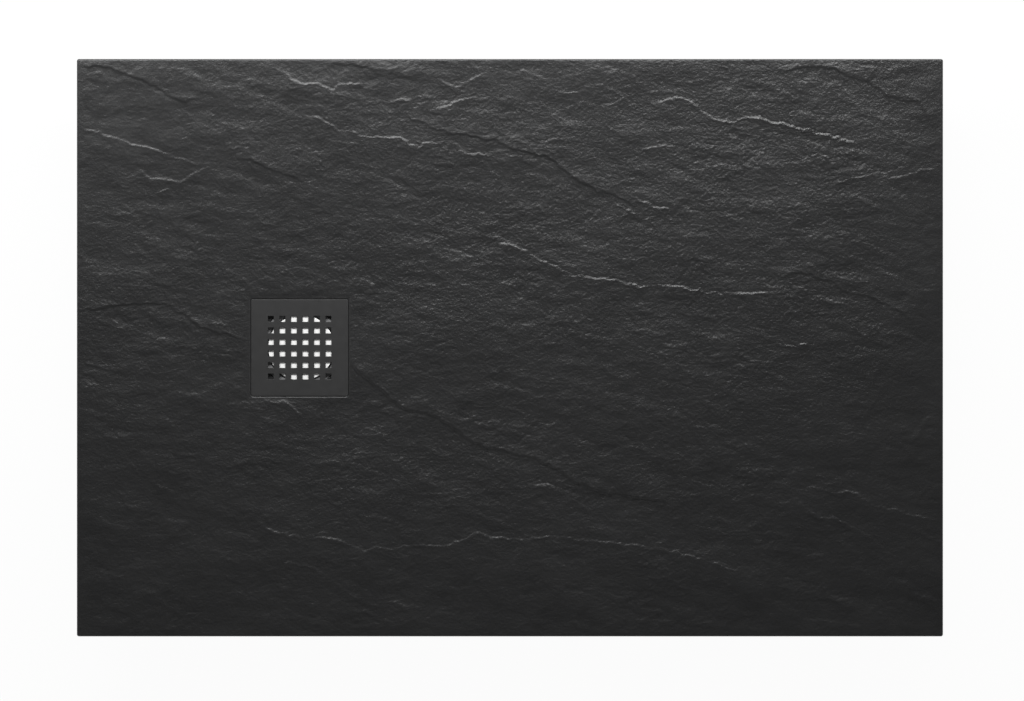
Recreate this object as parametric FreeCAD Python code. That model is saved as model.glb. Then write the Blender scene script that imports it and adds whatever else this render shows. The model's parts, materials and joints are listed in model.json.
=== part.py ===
"""A slate-effect cast shower tray with its square drain cover and its waste trap.

Millimetres, +Z up. The origin is the middle of the tray's flat underside, +X runs along
the long side and the drain lies on the -X half. The trap hangs below the underside.
"""
import FreeCAD, Part
import math
import os

from FreeCAD import Vector

# ---------------------------------------------------------------- the casting
TRAY_LENGTH = 1200.0
TRAY_WIDTH = 800.0
RIM_HEIGHT = 30.0          # underside to the rim
FLOOR_FALL = 8.0           # rim down to the edge of the drain recess
RIM_LAND = 5.0             # level strip round the edge, before the floor falls
CORNER_RADIUS = 3.0
EDGE_RADIUS = 2.0
GELCOAT = 1.0              # the coloured skin on the top, sides and recess
RECESS_DEPTH = 4.0         # floor's edge to the ledge that the cover stands on
RECESS_CORNER = 4.0
DRAIN_SEAT = 11.0          # shelf round the waste hole, out to the trap flange's edge
POCKET_GAP = 4.0           # round relief in the underside, wider than the trap's flange
POCKET_DEPTH = 2.0
CLAMPED_WALL = 7.5         # casting left between the pocket and the ring's seat
WELL_WALL = 10.0           # block round the drain, outside the recess's long sides

# ---------------------------------------------------------------- the drain cover
COVER_FROM_END = 308.0     # the cover's middle from the tray's -X end
COVER_SIZE = 135.0
COVER_GAP = 1.0            # open gap round the cover
COVER_DROP = 0.2           # the cover's top below the floor's edge
COVER_SHEET = 1.5
COVER_RIM = 3.3            # height of the turned-down edge, from the top face
COVER_CORNER = 3.0
HOLE_SIZE = 8.0
HOLE_PITCH = 16.0
HOLES_PER_SIDE = 6
PAD_RADIUS = 5.0
PAD_INSET = 9.5            # pad's middle from the cover's edges
STUD_RADIUS = 1.5
STUD_LENGTH = 1.6

# ---------------------------------------------------------------- clamp ring and its screws
DRAIN_SHIFT = 2.0          # the drain's axis from the cover's middle, towards +X
RING_MARGIN = 0.2          # the ring's edge inside the trap's flange
RING_SEAT_GAP = 0.7        # ring's edge to the counterbore's wall
RING_BORE_GAP = 0.3        # the ring's bore outside the neck's bore
RING_BASE = 3.0            # thickness under the screw heads
CROWN_STEP = 3.0           # waste hole's edge to where the ring steps up
CROWN_DROP = 0.5           # the crown's top below the ledge
RING_GASKET = 1.5
BODY_GASKET = 1.5
GASKET_SETBACK = 0.2       # the gaskets' bore outside the waste hole
SCREW_EDGE = 4.5           # the screws' middles inside the neck's edge
SCREW_COUNT = 4
SCREW_RADIUS = 2.0
SCREW_LENGTH = 16.0
HEAD_RADIUS = 4.0
HEAD_HEIGHT = 2.2
HEX_RADIUS = 1.5
HEX_DEPTH = 1.4
SCREW_CLEARANCE = 0.2
INSERT_RADIUS = 2.8
INSERT_LENGTH = 8.0

# ---------------------------------------------------------------- hair strainer
CAP_OVERLAP = 0.8          # the cap's edge beyond the waste hole's
CAP_THICKNESS = 1.8
CAP_GAP = 0.5              # under the cover's sheet
CAP_EDGE = 0.5
POST_INSET = 3.0           # the comb inside the edge of the cup's flange
POST_WALL = 2.5
STRAINER_FOOT = 2.0        # height of the ring that joins the posts
SLOT_COUNT = 20
SLOT_WIDTH = 5.5

# ---------------------------------------------------------------- lift-out cup
CUP_SETBACK = 2.0          # the cup's tube inside the sleeve's bore
CUP_WALL = 2.0
CUP_FLANGE_GAP = 0.5
CUP_FLANGE_HEIGHT = 3.0
CUP_COLLAR_HEIGHT = 10.0
CUP_REACH = 62.0           # the dipping lip below the tray's underside
SOFT_GAP = 0.3             # between pieces that slide or press on each other
CORD_RADIUS = 0.8          # section of the sealing ring
SEAL_DEPTH = 5.0           # sealing ring below the seat of the cup's flange
GROOVE_WIDTH = 2.0
BAR_WIDTH = 4.0
BAR_HEIGHT = 5.0

# ---------------------------------------------------------------- trap
NECK_GAP = 1.0             # the neck's side to the waste hole's wall
NECK_TOP = 10.0
CUP_SEAT = 3.0             # height of the step that carries the cup
NECK_WALL = 9.5
CUP_STEP = 3.0             # width of the step that carries the cup
SLEEVE_WALL = 3.0
SLEEVE_DEPTH = 9.0
TRAP_RADIUS = 52.0
TRAP_FLANGE = 4.0
TRAP_FLANGE_WIDTH = 4.0    # the flange's overhang round the trap
TRAP_WALL = 2.5
TRAP_SPLIT = 64.0          # weld line below the underside
WELD_FLANGE = 2.0
WELD_FLANGE_WIDTH = 3.0
TRAP_DEPTH = 77.0
BOWL_BEVEL = 6.0

# ---------------------------------------------------------------- swivelling outlet
OUTLET_DEPTH = 34.0        # its axis below the underside; also the water line
BALL_STAND = 26.0          # ball's middle outside the trap's wall
BALL_RADIUS = 25.0
BALL_CUT = 16.0            # the ball's flat inner end from its middle
OUTLET_SWING = 12.0        # degrees that the outlet turns each way
OUTLET_BORE = 16.0
SOCKET_WALL = 2.5
BALL_SEAL_WIDTH = 3.5
BALL_NUT_BACK = 14.0
BALL_NUT_FRONT = 10.0
BALL_NUT_WALL = 1.6
BALL_NUT_RIB = 1.4
THREAD_GAP = 0.1
OUTLET_NECK = 18.0
FLARE_START = 28.0
PIPE_STOP = 34.0
PIPE_RADIUS = 20.2         # for a 40 mm pipe
PIPE_DEPTH = 34.0
PIPE_SOCKET = 24.5
CONE_LENGTH = 8.0
CONE_RADIUS = 23.0
WASHER_GAP = 0.1
WASHER_HEAD = 1.5
WASHER_OVERHANG = 0.4
SLIP_RING = 1.5
SLIP_RING_RADIUS = 24.3
PIPE_NUT_WALL = 3.7
PIPE_NUT_GRIP = 21.0       # length of the nut over the socket and rings
PIPE_NUT_END = 4.0
PIPE_NUT_RIB = 2.0
NUT_RIBS = 12

# ---------------------------------------------------------------- heights and places
TRAP_FLANGE_RADIUS = TRAP_RADIUS + TRAP_FLANGE_WIDTH
DRAIN_RADIUS = TRAP_FLANGE_RADIUS - DRAIN_SEAT     # a 90 mm waste hole
NECK_RADIUS = DRAIN_RADIUS - NECK_GAP
NECK_BORE = NECK_RADIUS - NECK_WALL
SLEEVE_BORE = NECK_BORE - CUP_STEP
CUP_FLANGE = NECK_BORE - CUP_FLANGE_GAP
CUP_OUTER = SLEEVE_BORE - CUP_SETBACK
POST_OUTER = CUP_FLANGE - POST_INSET
POST_INNER = POST_OUTER - POST_WALL
CAP_RADIUS = DRAIN_RADIUS + CAP_OVERLAP
RING_BORE = NECK_BORE + RING_BORE_GAP
CROWN_INNER = DRAIN_RADIUS + CROWN_STEP
GASKET_BORE = DRAIN_RADIUS + GASKET_SETBACK
SCREW_CIRCLE = NECK_RADIUS - SCREW_EDGE
BALL_REACH = TRAP_RADIUS + BALL_STAND
RING_RADIUS = TRAP_FLANGE_RADIUS - RING_MARGIN
POCKET_RADIUS = TRAP_FLANGE_RADIUS + POCKET_GAP
FLOOR_Z = RIM_HEIGHT - FLOOR_FALL
LEDGE_Z = FLOOR_Z - RECESS_DEPTH
SEAT_Z = POCKET_DEPTH + CLAMPED_WALL
COVER_TOP = FLOOR_Z - COVER_DROP
COVER_UNDER = COVER_TOP - COVER_SHEET
CAP_TOP = COVER_UNDER - CAP_GAP
CAP_UNDER = CAP_TOP - CAP_THICKNESS
RING_UNDER = SEAT_Z + RING_GASKET
RING_TOP = RING_UNDER + RING_BASE
CROWN_TOP = LEDGE_Z - CROWN_DROP
CUP_TOP = CUP_SEAT + CUP_FLANGE_HEIGHT
FLANGE_TOP = POCKET_DEPTH - BODY_GASKET
FLANGE_UNDER = FLANGE_TOP - TRAP_FLANGE
RECESS_SIZE = COVER_SIZE + 2.0 * COVER_GAP
COUNTERBORE = RING_RADIUS + RING_SEAT_GAP
COVER_X = COVER_FROM_END - TRAY_LENGTH / 2.0
DRAIN_X = COVER_X + DRAIN_SHIFT
BALL_SEAT = BALL_RADIUS + SOFT_GAP
SOCKET_OUTER = BALL_SEAT + SOCKET_WALL
BALL_END_ANGLE = math.degrees(math.acos(BALL_CUT / BALL_RADIUS)) - OUTLET_SWING
SOCKET_CUT = BALL_RADIUS * math.cos(math.radians(BALL_END_ANGLE)) + SOFT_GAP
WELL_SHARE = WELL_WALL / ((TRAY_WIDTH - RECESS_SIZE) / 2.0 - RIM_LAND)
PIPE_END = PIPE_STOP + PIPE_DEPTH          # where the plain pipe socket turns into a cone
SOCKET_END = PIPE_END + CONE_LENGTH
OVERRUN = 5.0                              # how far a cutting shape runs past a face


# ---------------------------------------------------------------- shared shapes
def at_drain(shape):
    """Carry a shape made about the Z axis over to the drain's axis."""
    shape.translate(Vector(DRAIN_X, 0, 0))
    return shape


def at_outlet(shape):
    """Turn a shape made about +Z, outwards from the ball's middle, to point along -X."""
    turn = FreeCAD.Rotation(Vector(0, 1, 0), -90)
    place = FreeCAD.Placement(Vector(DRAIN_X - BALL_REACH, 0, -OUTLET_DEPTH), turn)
    return shape.transformed(place.toMatrix(), True)


def disc(radius, low, high):
    """A round bar about the Z axis from one height to another."""
    return Part.makeCylinder(radius, high - low, Vector(0, 0, low))


def tube(outer, inner, low, high):
    """A round bar with a round bore."""
    return disc(outer, low, high).cut(disc(inner, low - OVERRUN, high + OVERRUN))


def turned(profile):
    """Revolve a closed outline of (radius, height) points about the Z axis."""
    points = [Vector(r, 0, z) for r, z in profile]
    face = Part.Face(Part.makePolygon(points + points[:1]))
    return face.revolve(Vector(0, 0, 0), Vector(0, 0, 1), 360)


def round_square(side, corner, low, high):
    """An upright square block about the Z axis with rounded upright edges."""
    block = Part.makeBox(side, side, high - low, Vector(-side / 2.0, -side / 2.0, low))
    upright = [e for e in block.Edges if abs(e.Vertexes[0].X - e.Vertexes[1].X) < 1e-6
               and abs(e.Vertexes[0].Y - e.Vertexes[1].Y) < 1e-6]
    return block.makeFillet(corner, upright)


def round_the_axis(shape, count, first=0.0):
    """Copies of a shape at even angles about the Z axis."""
    copies = []
    for i in range(count):
        copy = shape.copy()
        copy.rotate(Vector(0, 0, 0), Vector(0, 0, 1), first + 360.0 * i / count)
        copies.append(copy)
    return copies


def solid(shape):
    """The shape's one solid, with split faces joined again."""
    cleaned = shape.removeSplitter()
    return cleaned.Solids[0] if len(cleaned.Solids) == 1 else cleaned


# ---------------------------------------------------------------- casting and gelcoat
def fall_corners(share):
    """The four corners of the floor's level line, a share of the way out to the rim land."""
    half_x = TRAY_LENGTH / 2.0 - RIM_LAND
    half_y = TRAY_WIDTH / 2.0 - RIM_LAND
    half_r = RECESS_SIZE / 2.0
    low = [(COVER_X - half_r, -half_r), (COVER_X + half_r, -half_r),
           (COVER_X + half_r, half_r), (COVER_X - half_r, half_r)]
    high = [(-half_x, -half_y), (half_x, -half_y), (half_x, half_y), (-half_x, half_y)]
    return [(a + (b - a) * share, c + (d - c) * share) for (a, c), (b, d) in zip(low, high)]


def outline(points, z):
    """A closed level outline through plan points at one height."""
    ring = [Vector(x, y, z) for x, y in points]
    return Part.makePolygon(ring + ring[:1])


def floor_void(sunk):
    """The shallow pit over the floor: four planes from the rim land to the recess's edge.

    The planes carry on up past the rim at the same slopes. sunk lowers the whole pit,
    which is how the casting under the gelcoat is made.
    """
    reach = 1.0 + (OVERRUN + sunk) / FLOOR_FALL
    return Part.makeLoft([outline(fall_corners(0.0), FLOOR_Z - sunk),
                          outline(fall_corners(reach), FLOOR_Z + FLOOR_FALL + OVERRUN)],
                         True, True)


def tray_form(skin):
    """The tray as a block with its floor, recess and drain hole, less a skin's thickness."""
    length = TRAY_LENGTH - 2.0 * skin
    width = TRAY_WIDTH - 2.0 * skin
    top = RIM_HEIGHT - skin
    block = Part.makeBox(length, width, top, Vector(-length / 2.0, -width / 2.0, 0))
    upright = [e for e in block.Edges if e.Vertexes[0].Z != e.Vertexes[1].Z]
    block = block.makeFillet(CORNER_RADIUS - skin, upright)
    edge = EDGE_RADIUS - skin
    if edge > 0:
        upper = [e for e in block.Edges if min(v.Z for v in e.Vertexes) > top - 1e-6]
        block = block.makeFillet(edge, upper)
    form = block.cut(floor_void(skin))
    recess = round_square(RECESS_SIZE + 2.0 * skin, RECESS_CORNER + skin, LEDGE_Z - skin,
                          RIM_HEIGHT)
    recess.translate(Vector(COVER_X, 0, 0))
    seat = at_drain(disc(COUNTERBORE + skin, SEAT_Z - skin, RIM_HEIGHT))
    hole = at_drain(disc(DRAIN_RADIUS + skin, -OVERRUN, RIM_HEIGHT))
    return form.cut([recess, seat, hole])


def casting_and_gelcoat():
    """The cast body and the thin skin over it, which meet face to face.

    The casting is kept as the block round the drain and the four falls of the floor,
    parted along the lines where the falls meet, so that each fall is a convex solid.
    """
    pocket = at_drain(disc(POCKET_RADIUS, -OVERRUN, POCKET_DEPTH))
    inner = tray_form(GELCOAT)
    skin = tray_form(0.0).cut([inner, pocket])
    casting = inner.cut(pocket)
    near = fall_corners(WELL_SHARE)
    far = fall_corners(2.0)

    def part_within(points):
        prism = Part.Face(outline(points, -OVERRUN)).extrude(Vector(0, 0, 2.0 * RIM_HEIGHT))
        return solid(casting.common(prism))

    falls = [part_within([near[i], near[(i + 1) % 4], far[(i + 1) % 4], far[i]])
             for i in range(4)]
    return {"casting_core": falls, "casting_well": part_within(near),
            "gelcoat_skin": solid(skin)}


# ---------------------------------------------------------------- drain cover
def pad_places():
    """The four corners where the cover stands."""
    reach = COVER_SIZE / 2.0 - PAD_INSET
    return [Vector(COVER_X + sx * reach, sy * reach, 0) for sx in (-1, 1) for sy in (-1, 1)]


def cover_plate():
    """A pressed square plate with a turned-down edge and a square grid of holes."""
    low = COVER_TOP - COVER_RIM
    outer = round_square(COVER_SIZE, COVER_CORNER, low, COVER_TOP)
    hollow = round_square(COVER_SIZE - 2.0 * COVER_SHEET, COVER_CORNER - COVER_SHEET,
                          low - OVERRUN, COVER_UNDER)
    first = -HOLE_PITCH * (HOLES_PER_SIDE - 1) / 2.0
    holes = []
    for i in range(HOLES_PER_SIDE):
        for j in range(HOLES_PER_SIDE):
            corner = Vector(first + i * HOLE_PITCH - HOLE_SIZE / 2.0,
                            first + j * HOLE_PITCH - HOLE_SIZE / 2.0, low)
            holes.append(Part.makeBox(HOLE_SIZE, HOLE_SIZE, COVER_RIM + OVERRUN, corner))
    plate = outer.cut([hollow] + holes)
    plate.translate(Vector(COVER_X, 0, 0))
    return solid(plate)


def cover_studs():
    """Short pins welded under the plate, one for each pad."""
    studs = []
    for place in pad_places():
        stud = disc(STUD_RADIUS, COVER_UNDER - STUD_LENGTH, COVER_UNDER)
        stud.translate(place)
        studs.append(stud)
    return studs


def cover_pads():
    """Rubber feet pushed on the studs, standing on the recess's ledge."""
    pads = []
    for place in pad_places():
        pad = disc(PAD_RADIUS, LEDGE_Z, COVER_UNDER)
        pad = pad.cut(disc(STUD_RADIUS, COVER_UNDER - STUD_LENGTH, COVER_UNDER + OVERRUN))
        pad.translate(place)
        pads.append(solid(pad))
    return pads


# ---------------------------------------------------------------- clamp ring, gaskets, screws
def clamp_ring():
    """The ring that holds the trap to the tray, stepped up to a crown outside its screws."""
    ring = turned([(RING_BORE, RING_UNDER), (RING_RADIUS, RING_UNDER),
                   (RING_RADIUS, CROWN_TOP), (CROWN_INNER, CROWN_TOP),
                   (CROWN_INNER, RING_TOP), (RING_BORE, RING_TOP)])
    hole = disc(SCREW_RADIUS + SCREW_CLEARANCE, RING_UNDER - OVERRUN, RING_TOP)
    cone = Part.makeCone(SCREW_RADIUS, HEAD_RADIUS, HEAD_HEIGHT,
                         Vector(0, 0, RING_TOP - HEAD_HEIGHT))
    cutter = hole.fuse(cone)
    cutter.translate(Vector(SCREW_CIRCLE, 0, 0))
    return at_drain(solid(ring.cut(round_the_axis(cutter, SCREW_COUNT, 45.0))))


def clamp_screws():
    """Countersunk screws with a hexagon socket."""
    head = Part.makeCone(SCREW_RADIUS, HEAD_RADIUS, HEAD_HEIGHT,
                         Vector(0, 0, RING_TOP - HEAD_HEIGHT))
    shank = disc(SCREW_RADIUS, RING_TOP - SCREW_LENGTH, RING_TOP - HEAD_HEIGHT)
    corners = [Vector(HEX_RADIUS * math.cos(a), HEX_RADIUS * math.sin(a), RING_TOP - HEX_DEPTH)
               for a in [math.radians(60.0 * i) for i in range(6)]]
    hexagon = Part.Face(Part.makePolygon(corners + corners[:1]))
    screw = solid(head.fuse(shank).cut(hexagon.extrude(Vector(0, 0, HEX_DEPTH + OVERRUN))))
    screw.translate(Vector(SCREW_CIRCLE, 0, 0))
    return [at_drain(s) for s in round_the_axis(screw, SCREW_COUNT, 45.0)]


def screw_inserts():
    """Brass sleeves in the trap's neck that take the screws."""
    insert = tube(INSERT_RADIUS, SCREW_RADIUS, NECK_TOP - INSERT_LENGTH, NECK_TOP)
    insert.translate(Vector(SCREW_CIRCLE, 0, 0))
    return [at_drain(s) for s in round_the_axis(insert, SCREW_COUNT, 45.0)]


def gaskets():
    """Flat rubber washers above and below the casting."""
    upper = tube(RING_RADIUS, GASKET_BORE, SEAT_Z, RING_UNDER)
    lower = tube(TRAP_FLANGE_RADIUS, GASKET_BORE, FLANGE_TOP, POCKET_DEPTH)
    return {"ring_gasket": at_drain(upper), "trap_gasket": at_drain(lower)}


# ---------------------------------------------------------------- strainer and cup
def strainer():
    """A flat cap on a comb of posts that stop hair, joined by a ring at their feet."""
    cap = disc(CAP_RADIUS, CAP_UNDER, CAP_TOP)
    rims = [e for e in cap.Edges if len(e.Vertexes) == 1]
    cap = cap.makeFillet(CAP_EDGE, rims)
    wall = tube(POST_OUTER, POST_INNER, CUP_TOP, CAP_UNDER)
    slot = Part.makeBox(POST_OUTER, SLOT_WIDTH, CAP_UNDER - CUP_TOP - STRAINER_FOOT,
                        Vector(POST_INNER / 2.0, -SLOT_WIDTH / 2.0, CUP_TOP + STRAINER_FOOT))
    comb = wall.cut(round_the_axis(slot, SLOT_COUNT))
    return at_drain(solid(cap.fuse(comb)))


def lift_out_cup():
    """The open tube whose lower lip dips in the trap's water, with a bar to lift it by."""
    bore = CUP_OUTER - CUP_WALL
    collar = SLEEVE_BORE - SOFT_GAP
    seal_z = CUP_SEAT - SEAL_DEPTH
    cup = turned([(bore, -CUP_REACH), (CUP_OUTER, -CUP_REACH),
                  (CUP_OUTER, CUP_SEAT - CUP_COLLAR_HEIGHT), (collar, CUP_SEAT - CUP_COLLAR_HEIGHT),
                  (collar, CUP_SEAT), (CUP_FLANGE, CUP_SEAT), (CUP_FLANGE, CUP_TOP),
                  (bore, CUP_TOP)])
    groove = tube(collar + OVERRUN, collar - 2.0 * CORD_RADIUS, seal_z - GROOVE_WIDTH / 2.0,
                  seal_z + GROOVE_WIDTH / 2.0)
    reach = bore + CUP_WALL / 2.0
    bar = Part.makeBox(2.0 * reach, BAR_WIDTH, BAR_HEIGHT,
                       Vector(-reach, -BAR_WIDTH / 2.0, CUP_SEAT - SEAL_DEPTH - BAR_HEIGHT))
    ring = Part.makeTorus(collar - CORD_RADIUS, CORD_RADIUS, Vector(0, 0, seal_z))
    return {"dip_cup": at_drain(solid(cup.cut(groove).fuse(bar))), "cup_seal": at_drain(ring)}


# ---------------------------------------------------------------- trap
def trap_head():
    """The trap's flange, with its neck up in the drain and its sleeve for the cup."""
    sleeve = SLEEVE_BORE + SLEEVE_WALL
    body = turned([(SLEEVE_BORE, CUP_SEAT), (NECK_BORE, CUP_SEAT), (NECK_BORE, NECK_TOP),
                   (NECK_RADIUS, NECK_TOP), (NECK_RADIUS, FLANGE_TOP),
                   (TRAP_FLANGE_RADIUS, FLANGE_TOP), (TRAP_FLANGE_RADIUS, FLANGE_UNDER),
                   (sleeve, FLANGE_UNDER), (sleeve, -SLEEVE_DEPTH), (SLEEVE_BORE, -SLEEVE_DEPTH)])
    bolt = disc(INSERT_RADIUS, NECK_TOP - INSERT_LENGTH, NECK_TOP + OVERRUN).fuse(
        disc(SCREW_RADIUS + SCREW_CLEARANCE, RING_TOP - SCREW_LENGTH - SCREW_CLEARANCE, NECK_TOP))
    bolt.translate(Vector(SCREW_CIRCLE, 0, 0))
    return at_drain(solid(body.cut(round_the_axis(bolt, SCREW_COUNT, 45.0))))


def socket_bar():
    """A round bar along the outlet's axis, as thick as the ball socket outside."""
    return at_outlet(disc(SOCKET_OUTER, -BALL_REACH + (TRAP_RADIUS - TRAP_WALL) / 2.0, 0.0))


def trap_wall():
    """The trap's round wall from the flange down to the weld, open where the socket sits."""
    chamber = TRAP_RADIUS - TRAP_WALL
    wall = turned([(chamber, FLANGE_UNDER), (TRAP_RADIUS, FLANGE_UNDER),
                   (TRAP_RADIUS, -TRAP_SPLIT + WELD_FLANGE),
                   (TRAP_RADIUS + WELD_FLANGE_WIDTH, -TRAP_SPLIT + WELD_FLANGE),
                   (TRAP_RADIUS + WELD_FLANGE_WIDTH, -TRAP_SPLIT), (chamber, -TRAP_SPLIT)])
    return solid(at_drain(wall).cut(socket_bar()))


def ball_socket():
    """The socket for the outlet's ball, with the weir that keeps the water's level."""
    chamber = TRAP_RADIUS - TRAP_WALL
    inside = at_drain(disc(chamber, -TRAP_SPLIT - OVERRUN, FLANGE_UNDER))
    seat = Part.makeSphere(BALL_SEAT).common(disc(BALL_SEAT + OVERRUN, -SOCKET_CUT, BALL_SEAT))
    port = at_outlet(disc(OUTLET_BORE, -BALL_REACH + chamber / 2.0, -BALL_CUT))
    water_side = Part.makeBox(2.0 * BALL_REACH, 4.0 * OUTLET_BORE, 2.0 * OUTLET_BORE,
                              Vector(DRAIN_X - 2.0 * BALL_REACH, -2.0 * OUTLET_BORE,
                                     -OUTLET_DEPTH))
    return solid(socket_bar().cut([inside, at_outlet(seat), port.common(water_side)]))


def trap_bowl():
    """The bowl welded under the head, which keeps the water."""
    inner = TRAP_RADIUS - TRAP_WALL
    lip = TRAP_RADIUS + WELD_FLANGE_WIDTH
    floor = -TRAP_DEPTH + TRAP_WALL
    bevel = BOWL_BEVEL - TRAP_WALL / 2.0
    return at_drain(turned([
        (0, -TRAP_DEPTH), (TRAP_RADIUS - BOWL_BEVEL, -TRAP_DEPTH),
        (TRAP_RADIUS, -TRAP_DEPTH + BOWL_BEVEL), (TRAP_RADIUS, -TRAP_SPLIT - WELD_FLANGE),
        (lip, -TRAP_SPLIT - WELD_FLANGE), (lip, -TRAP_SPLIT), (inner, -TRAP_SPLIT),
        (inner, floor + bevel), (inner - bevel, floor), (0, floor)]))


# ---------------------------------------------------------------- outlet
def ribbed(body, radius, low, high, rib):
    """A nut's body with half-round grip ribs along it."""
    bar = disc(rib, low, high)
    bar.translate(Vector(radius, 0, 0))
    return body.fuse(round_the_axis(bar, NUT_RIBS))


def ball_nut():
    """The nut that keeps the ball in its socket, with a lip that follows the ball."""
    bore = SOCKET_OUTER + THREAD_GAP
    outer = bore + BALL_NUT_WALL
    nut = ribbed(disc(outer, -BALL_NUT_BACK, BALL_NUT_FRONT), outer, -BALL_NUT_BACK,
                 BALL_NUT_FRONT, BALL_NUT_RIB)
    thread = disc(bore, -BALL_NUT_BACK - OVERRUN, BALL_SEAL_WIDTH)
    return at_outlet(solid(nut.cut([thread, Part.makeSphere(BALL_SEAT)])))


def ball_seal():
    """The rubber ring between the socket's end and the nut."""
    ring = disc(SOCKET_OUTER, 0.0, BALL_SEAL_WIDTH)
    return at_outlet(solid(ring.cut(Part.makeSphere(BALL_SEAT))))


def outlet_spigot():
    """The ball, its neck and the socket for the waste pipe, in one piece."""
    ball = Part.makeSphere(BALL_RADIUS).common(disc(BALL_SEAT, -BALL_CUT, BALL_SEAT))
    neck = turned([(0, 0), (OUTLET_NECK, 0), (OUTLET_NECK, FLARE_START), (PIPE_SOCKET, PIPE_STOP),
                   (PIPE_SOCKET, SOCKET_END), (0, SOCKET_END)])
    bore = disc(OUTLET_BORE, -BALL_CUT - OVERRUN, PIPE_STOP + OVERRUN)
    pipe = disc(PIPE_RADIUS, PIPE_STOP, SOCKET_END + OVERRUN)
    cone = Part.makeCone(PIPE_RADIUS, CONE_RADIUS, CONE_LENGTH, Vector(0, 0, PIPE_END))
    return at_outlet(solid(ball.fuse(neck).cut([bore, pipe, cone])))


def cone_washer():
    """The rubber wedge that grips the pipe in the socket's mouth."""
    bore = PIPE_RADIUS + WASHER_GAP
    slope = (CONE_RADIUS - PIPE_RADIUS) / CONE_LENGTH
    tip = PIPE_END + 1.0
    head = CONE_RADIUS + WASHER_OVERHANG
    return at_outlet(turned([
        (bore, tip), (PIPE_RADIUS + slope * (tip - PIPE_END), tip), (CONE_RADIUS, SOCKET_END),
        (head, SOCKET_END), (head, SOCKET_END + WASHER_HEAD), (bore, SOCKET_END + WASHER_HEAD)]))


def slip_ring():
    """The hard ring that lets the nut turn without twisting the rubber."""
    low = SOCKET_END + WASHER_HEAD
    return at_outlet(tube(SLIP_RING_RADIUS, PIPE_RADIUS + 2.0 * WASHER_GAP, low, low + SLIP_RING))


def pipe_nut():
    """The nut that squeezes the wedge on the waste pipe."""
    bore = PIPE_SOCKET + SOFT_GAP
    outer = bore + PIPE_NUT_WALL
    wall_end = SOCKET_END + WASHER_HEAD + SLIP_RING
    low = wall_end - PIPE_NUT_GRIP
    high = wall_end + PIPE_NUT_END
    nut = ribbed(disc(outer, low, high), outer, low, high, PIPE_NUT_RIB)
    thread = disc(bore, low - OVERRUN, wall_end)
    way_in = disc(PIPE_RADIUS + 4.0 * WASHER_GAP, low, high + OVERRUN)
    return at_outlet(solid(nut.cut([thread, way_in])))


# ---------------------------------------------------------------- all pieces
def all_pieces():
    """Every sub-part by name: one shape, or a list of separate like solids."""
    pieces = {}
    pieces.update(casting_and_gelcoat())
    pieces["cover_plate"] = cover_plate()
    pieces["cover_studs"] = cover_studs()
    pieces["cover_pads"] = cover_pads()
    pieces["strainer"] = strainer()
    pieces.update(lift_out_cup())
    pieces["clamp_ring"] = clamp_ring()
    pieces.update(gaskets())
    pieces["clamp_screws"] = clamp_screws()
    pieces["screw_inserts"] = screw_inserts()
    pieces["trap_head"] = trap_head()
    pieces["trap_wall"] = trap_wall()
    pieces["ball_socket"] = ball_socket()
    pieces["trap_bowl"] = trap_bowl()
    pieces["ball_nut"] = ball_nut()
    pieces["ball_seal"] = ball_seal()
    pieces["outlet_spigot"] = outlet_spigot()
    pieces["cone_washer"] = cone_washer()
    pieces["slip_ring"] = slip_ring()
    pieces["pipe_nut"] = pipe_nut()
    return pieces


def main():
    """Write one file for each sub-part."""
    os.makedirs("parts", exist_ok=True)
    for name, shape in all_pieces().items():
        if isinstance(shape, list):
            shape = Part.makeCompound(shape)
        shape.exportStep("parts/" + name + ".step")
        print(name, "solids", len(shape.Solids), "valid", shape.isValid(),
              "cm3", round(shape.Volume / 1000.0, 2))


main()
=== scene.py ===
# %% [markdown]
# # A slate-effect shower tray
#
# The real tray is cast in a mould that was taken from split slate. Liquid stone resin
# fills the mould, and a thin coloured skin on its face copies every ledge and flake of
# the rock. A square steel cover lies in a recess over the drain, and a plastic trap
# hangs under it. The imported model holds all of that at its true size, and this lesson
# adds what the eye sees: the relief of the slate, the finishes and the light.

# %% Load the frame
import json

import bpy
import numpy as np
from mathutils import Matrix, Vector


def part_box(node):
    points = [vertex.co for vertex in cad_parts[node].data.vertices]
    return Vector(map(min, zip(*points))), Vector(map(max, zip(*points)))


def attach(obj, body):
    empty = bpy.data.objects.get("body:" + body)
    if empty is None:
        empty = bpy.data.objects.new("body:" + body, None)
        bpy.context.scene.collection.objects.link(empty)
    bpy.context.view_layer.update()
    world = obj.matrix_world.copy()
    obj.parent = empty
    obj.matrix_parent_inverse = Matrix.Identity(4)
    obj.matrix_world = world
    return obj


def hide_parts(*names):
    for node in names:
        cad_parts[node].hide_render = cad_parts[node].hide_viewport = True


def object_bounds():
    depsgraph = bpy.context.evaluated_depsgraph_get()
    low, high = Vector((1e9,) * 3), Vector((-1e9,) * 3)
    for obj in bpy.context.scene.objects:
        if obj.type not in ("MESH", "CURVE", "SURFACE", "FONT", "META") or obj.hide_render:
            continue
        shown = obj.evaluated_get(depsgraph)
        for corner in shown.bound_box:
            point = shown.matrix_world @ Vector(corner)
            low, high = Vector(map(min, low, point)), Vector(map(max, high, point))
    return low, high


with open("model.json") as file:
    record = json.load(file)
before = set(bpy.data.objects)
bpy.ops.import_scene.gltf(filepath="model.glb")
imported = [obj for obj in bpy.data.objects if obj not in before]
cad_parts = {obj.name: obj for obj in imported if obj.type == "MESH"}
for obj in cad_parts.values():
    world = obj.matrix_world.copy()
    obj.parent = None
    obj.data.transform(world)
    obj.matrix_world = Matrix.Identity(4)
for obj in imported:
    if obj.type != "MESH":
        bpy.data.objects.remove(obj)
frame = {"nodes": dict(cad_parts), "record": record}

cad_bounds = [[float(v) for v in corner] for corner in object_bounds()]
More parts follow.
